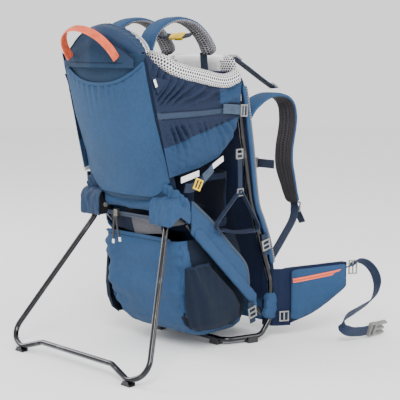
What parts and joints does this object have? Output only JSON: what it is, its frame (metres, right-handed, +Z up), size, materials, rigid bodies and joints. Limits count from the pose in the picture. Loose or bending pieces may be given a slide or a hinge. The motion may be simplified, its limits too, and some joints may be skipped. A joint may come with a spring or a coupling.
{
  "type": "baby carrier backpack",
  "caption": "Framed child-carrier backpack with a fold-out kickstand, high-sided cockpit, lower luggage bag, shoulder straps and a hip belt.",
  "frame": {"origin": "on the floor, in the middle of the footprint", "axes": "+Z up, +Y from the kickstand towards the wearer, +X towards the wearer's right; X = 0 is the plane of symmetry"},
  "size_m": [0.635, 0.6888, 0.715],
  "materials": {
    "anodised_tube": "polished dark anodised tube",
    "steel": "brushed",
    "black_plastic": "moulded matt black",
    "buckle_grey": "moulded satin grey",
    "yellow_plastic": "moulded satin yellow",
    "blue_fabric": "plain-woven coated polyester, slate blue",
    "navy_fabric": "plain-woven polyester, dark navy",
    "side_mesh": "open stretch mesh, dark navy",
    "light_mesh": "perforated spacer mesh, pale grey",
    "grey_mesh": "spacer mesh, dark grey",
    "navy_webbing": "flat woven webbing, navy",
    "orange_webbing": "flat woven webbing, coral orange"
  },
  "bodies": {
    "pack": {"back_frame": "anodised_tube", "rear_crossbar": "anodised_tube", "back_panel": "navy_fabric", "back_pad": "grey_mesh", "lumbar_pad": "navy_fabric", "rear_panel": "blue_fabric", "rear_pocket": "blue_fabric", "top_cap": "navy_fabric", "rim_collar": "light_mesh", "chin_pad": "light_mesh", "lower_bag": "blue_fabric", "harness_buckle": "yellow_plastic", "strut_right": "anodised_tube", "strut_left": "anodised_tube", "hinge_bracket_right": "black_plastic", "hinge_bracket_left": "black_plastic", "pivot_pin_right": "steel", "pivot_pin_left": "steel", "base_foot_rear_right": "black_plastic", "base_foot_rear_left": "black_plastic", "base_foot_front_right": "black_plastic", "base_foot_front_left": "black_plastic", "wing_right": "navy_fabric", "wing_left": "navy_fabric", "side_panel_right": "blue_fabric", "side_panel_left": "blue_fabric", "side_pocket_right": "side_mesh", "side_pocket_left": "side_mesh", "hinge_cover_right": "navy_fabric", "hinge_cover_left": "navy_fabric", "harness_pad_right": "blue_fabric", "harness_pad_left": "blue_fabric", "shoulder_strap_right": "blue_fabric", "shoulder_strap_left": "blue_fabric", "load_lifter_right": "navy_webbing", "load_lifter_left": "navy_webbing", "shoulder_webbing_right": "navy_webbing", "shoulder_webbing_left": "navy_webbing", "seat_adjuster_right": "yellow_plastic", "seat_adjuster_left": "yellow_plastic"},
    "kickstand": {"kickstand_tube": "anodised_tube", "kickstand_foot_right": "black_plastic", "kickstand_foot_left": "black_plastic"},
    "hip_fin_right": {"hip_fin_right": "navy_fabric", "hip_pocket_right": "blue_fabric", "belt_webbing_right": "navy_webbing", "belt_buckle_plug": "buckle_grey"},
    "hip_fin_left": {"hip_fin_left": "navy_fabric", "hip_pocket_left": "blue_fabric", "belt_webbing_left": "navy_webbing", "belt_buckle_socket": "buckle_grey"},
    "hip_zip_slider_right": {"hip_zip_slider_right": "buckle_grey"},
    "hip_zip_slider_left": {"hip_zip_slider_left": "buckle_grey"},
    "haul_loop": {"haul_loop": "orange_webbing"},
    "seat": {"seat_shell": "navy_fabric", "seat_saddle": "navy_fabric"},
    "chest_strap": {"chest_strap": "navy_webbing"},
    "stirrup_right": {"stirrup_right": "navy_webbing"},
    "stirrup_left": {"stirrup_left": "navy_webbing"},
    "bag_zip_slider": {"bag_zip_slider": "steel"}
  },
  "joints": [
    {"name": "kickstand_fold", "type": "hinge", "parent": "pack", "child": "kickstand", "pos_m": [0, -0.16, 0.31], "axis": [1, 0, 0], "range_deg": [0, 50]},
    {"name": "hip_fin_swing_right", "type": "hinge", "parent": "pack", "child": "hip_fin_right", "pos_m": [0.14308, 0.13401, 0.09], "axis": [0, 0, 1], "range_deg": [-20, 40]},
    {"name": "hip_fin_swing_left", "type": "hinge", "parent": "pack", "child": "hip_fin_left", "pos_m": [-0.14308, 0.13401, 0.09], "axis": [0, 0, -1], "range_deg": [-20, 40]},
    {"name": "hip_zip_slide_right", "type": "slide", "parent": "hip_fin_right", "child": "hip_zip_slider_right", "axis": [0.4969, 0.8567, 0.1384], "range_m": [0, 0.095]},
    {"name": "hip_zip_slide_left", "type": "slide", "parent": "hip_fin_left", "child": "hip_zip_slider_left", "axis": [-0.4969, 0.8567, 0.1384], "range_m": [0, 0.095]},
    {"name": "haul_loop_fold", "type": "hinge", "parent": "pack", "child": "haul_loop", "pos_m": [0, -0.2685, 0.63], "axis": [1, 0, 0], "range_deg": [0, 60]},
    {"name": "seat_height", "type": "slide", "parent": "pack", "child": "seat", "axis": [0, 0, 1], "range_m": [0, 0.05]},
    {"name": "chest_strap_height", "type": "slide", "parent": "pack", "child": "chest_strap", "axis": [0, 0, 1], "range_m": [0, 0.06]},
    {"name": "stirrup_swing_right", "type": "hinge", "parent": "pack", "child": "stirrup_right", "pos_m": [0.15325, 0.004, 0.432], "axis": [0, -1, 0], "range_deg": [0, 55]},
    {"name": "stirrup_swing_left", "type": "hinge", "parent": "pack", "child": "stirrup_left", "pos_m": [-0.15325, 0.004, 0.432], "axis": [0, 1, 0], "range_deg": [0, 55]},
    {"name": "bag_zip_slide", "type": "slide", "parent": "pack", "child": "bag_zip_slider", "axis": [1, 0, 0], "range_m": [-0.03, 0.12]}
  ]
}
